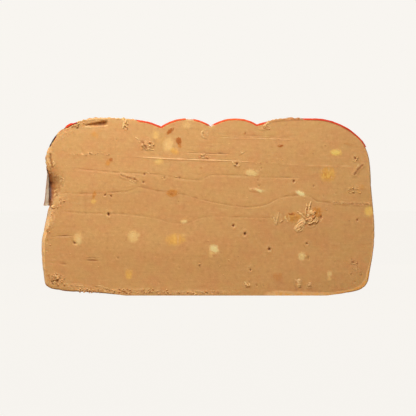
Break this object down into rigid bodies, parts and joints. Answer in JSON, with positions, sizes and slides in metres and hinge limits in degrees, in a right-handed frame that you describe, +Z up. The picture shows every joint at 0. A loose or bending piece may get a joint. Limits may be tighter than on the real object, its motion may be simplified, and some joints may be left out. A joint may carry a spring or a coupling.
{
  "type": "gianduja block",
  "caption": "Block of hazelnut chocolate paste cut across a loaf: rounded shoulders, ribbed top, flat base, chopped nuts in the cut face and thin film left on top.",
  "frame": {"origin": "middle of the flat base that the block stands on, halfway between the two cut faces", "axes": "+Z up, +X across the loaf to the right as the cut face is seen, +Y along the loaf from the front cut face to the back one"},
  "size_m": [0.1304, 0.0471, 0.0695],
  "materials": {
    "gianduja": "dull waxy tan chocolate paste with pale, amber and brown nut bits",
    "printed_film": "thin satin film, red outside with a plain black and gold band, silver grey inside"
  },
  "bodies": {
    "root": {"gianduja_block": "gianduja", "printed_film": "printed_film"}
  },
  "joints": []
}
